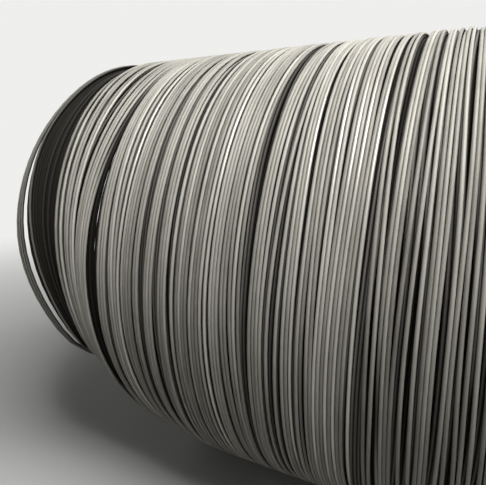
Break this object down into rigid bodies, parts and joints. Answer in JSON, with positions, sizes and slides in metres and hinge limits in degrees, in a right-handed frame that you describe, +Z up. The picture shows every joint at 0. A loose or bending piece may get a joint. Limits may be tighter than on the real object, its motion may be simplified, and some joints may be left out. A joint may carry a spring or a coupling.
{
  "type": "coil of cold heading wire",
  "caption": "Thick coil of grey coated steel wire lying on its side, with an open bore through it and slack turns leaning off one end",
  "frame": {"origin": "middle of the footprint, at floor level, with the slack turns counted in", "axes": "+X along the bore towards the tidy end, +Z up, -Y the side that faces the viewer in the picture"},
  "size_m": [1.3832, 1.19, 1.1859],
  "materials": {
    "wire": "matte grey drawing coat"
  },
  "bodies": {
    "root": {"wire_coil": "wire", "slack_turns": "wire"}
  },
  "joints": []
}
